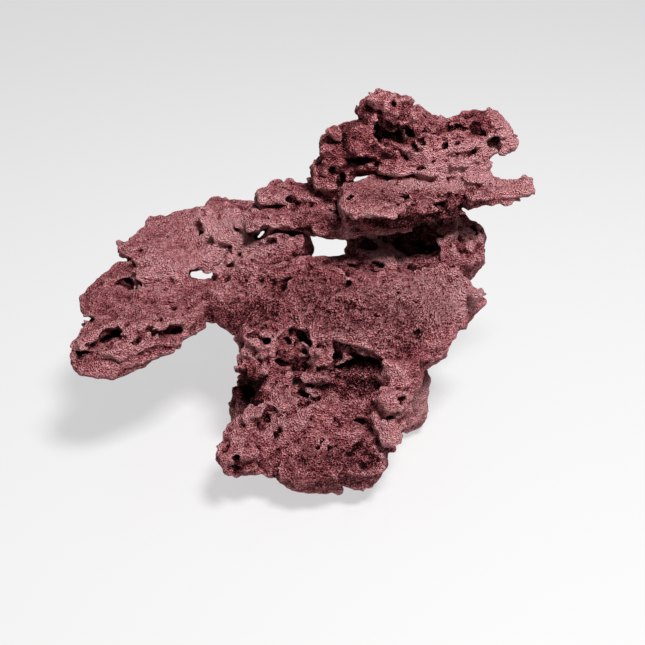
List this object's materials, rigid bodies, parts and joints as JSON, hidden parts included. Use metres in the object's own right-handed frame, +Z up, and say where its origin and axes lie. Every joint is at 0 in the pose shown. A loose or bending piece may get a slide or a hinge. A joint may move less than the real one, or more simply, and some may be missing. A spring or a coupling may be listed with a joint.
{
  "type": "aquarium reef rock",
  "caption": "Shelved porous reef rock for an aquarium, with flat ledges, caves and a swim-through under a bridge.",
  "frame": {"origin": "on the ground under the pedestal, on its flat worn foot", "axes": "+Z up, -Y to the front where the foot shelf slopes down, +X to the right along the shelves"},
  "size_m": [0.3713, 0.2789, 0.2446],
  "materials": {
    "stone": "matt, porous, dusty mauve-pink coralline tint"
  },
  "bodies": {
    "root": {"reef_rock": "stone"}
  },
  "joints": []
}
